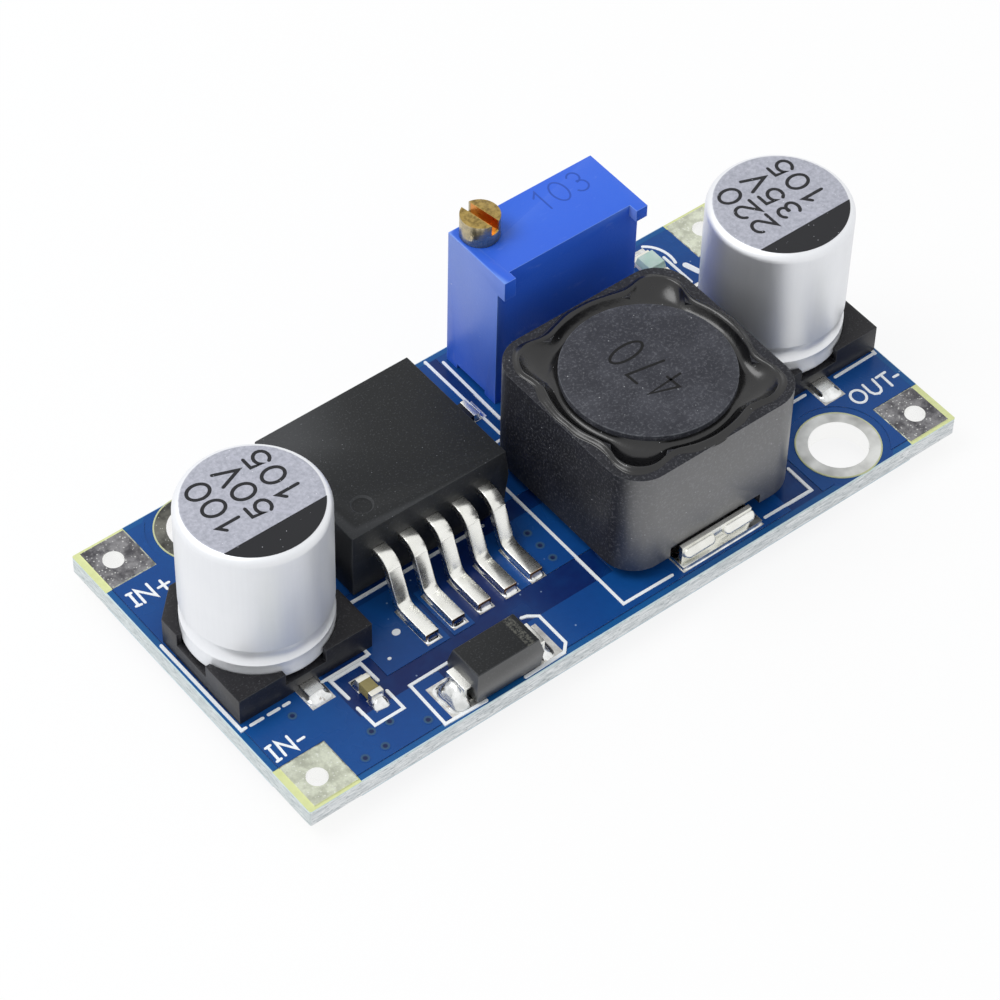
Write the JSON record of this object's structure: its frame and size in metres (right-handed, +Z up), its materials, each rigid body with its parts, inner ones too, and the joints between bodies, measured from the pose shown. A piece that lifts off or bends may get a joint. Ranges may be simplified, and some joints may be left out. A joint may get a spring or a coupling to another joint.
{
  "type": "step-down converter module",
  "caption": "Small blue circuit board carrying two aluminium capacitors, a five-lead regulator, a shielded inductor, a screw-driven trimmer, a diode and chip parts, with plated corner pads.",
  "frame": {"origin": "centre of the board's underside", "axes": "+X from the input end to the output end, +Y towards the positive edge, +Z up out of the component side"},
  "size_m": [0.0432, 0.0208, 0.0133],
  "materials": {
    "laminate": "satin",
    "copper": "satin",
    "solder_mask": "gloss",
    "tinned_pad": "satin",
    "tinned_metal": "satin",
    "can_aluminium": "satin",
    "black_base": "satin",
    "epoxy": "matt",
    "ferrite": "satin",
    "enamelled_copper": "gloss",
    "glue": "gloss",
    "blue_plastic": "satin",
    "potting": "matt",
    "alumina": "matt",
    "white_plastic": "matt",
    "spring_alloy": "satin",
    "screw_brass": "satin",
    "seal_rubber": "matt",
    "chip_ceramic": "matt",
    "resistor_black": "satin",
    "lamp_board": "matt",
    "lamp_resin": "gloss",
    "solder": "gloss"
  },
  "bodies": {
    "module": {"board_core": "laminate", "copper_top": "copper", "copper_bottom": "copper", "solder_mask_top": "solder_mask", "solder_mask_bottom": "solder_mask", "component_lands": "tinned_metal", "vias": "tinned_pad", "pad_in_plus": "tinned_pad", "pad_in_minus": "tinned_pad", "pad_out_plus": "tinned_pad", "pad_out_minus": "tinned_pad", "mount_ring_left": "tinned_pad", "mount_ring_right": "tinned_pad", "cap_in_can": "can_aluminium", "cap_in_base": "black_base", "cap_in_terminal_plus": "tinned_metal", "cap_in_terminal_minus": "tinned_metal", "cap_out_can": "can_aluminium", "cap_out_base": "black_base", "cap_out_terminal_plus": "tinned_metal", "cap_out_terminal_minus": "tinned_metal", "regulator_body": "epoxy", "regulator_tab": "tinned_metal", "regulator_lead_1": "tinned_metal", "regulator_lead_2": "tinned_metal", "regulator_lead_4": "tinned_metal", "regulator_lead_5": "tinned_metal", "inductor_shell": "ferrite", "inductor_drum": "ferrite", "inductor_winding": "enamelled_copper", "inductor_glue": "glue", "inductor_clip_front": "tinned_metal", "inductor_clip_back": "tinned_metal", "trimmer_housing": "blue_plastic", "trimmer_floor": "potting", "trimmer_element": "alumina", "trimmer_pin_1": "tinned_metal", "trimmer_pin_2": "tinned_metal", "trimmer_pin_3": "tinned_metal", "diode_body": "epoxy", "diode_lead_anode": "tinned_metal", "diode_lead_cathode": "tinned_metal", "chip_cap_body": "chip_ceramic", "chip_cap_ends": "tinned_metal", "feedback_resistor_body": "resistor_black", "feedback_resistor_ends": "tinned_metal", "lamp_resistor_body": "resistor_black", "lamp_resistor_ends": "tinned_metal", "lamp_base": "lamp_board", "lamp_lens": "lamp_resin", "lamp_ends": "tinned_metal", "solder_joints": "solder", "solder_cones": "solder"},
    "adjusting_screw": {"trimmer_screw": "screw_brass", "trimmer_o_ring": "seal_rubber"},
    "wiper_rotor": {"trimmer_rotor": "white_plastic", "trimmer_wiper": "spring_alloy"}
  },
  "joints": [
    {"name": "screw_turn", "type": "hinge", "parent": "module", "child": "adjusting_screw", "pos_m": [0.00374, 0.00858, 0.01095], "axis": [0, 0, 1], "range_deg": [-4500, 4500]},
    {"name": "rotor_turn", "type": "hinge", "parent": "module", "child": "wiper_rotor", "pos_m": [0.00767, 0.00858, 0.00616], "axis": [0, 1, 0], "range_deg": [-155.2, 155.2]}
  ],
  "couplings": [
    {"joint": "rotor_turn", "follows": "screw_turn", "ratio": -0.034483}
  ]
}
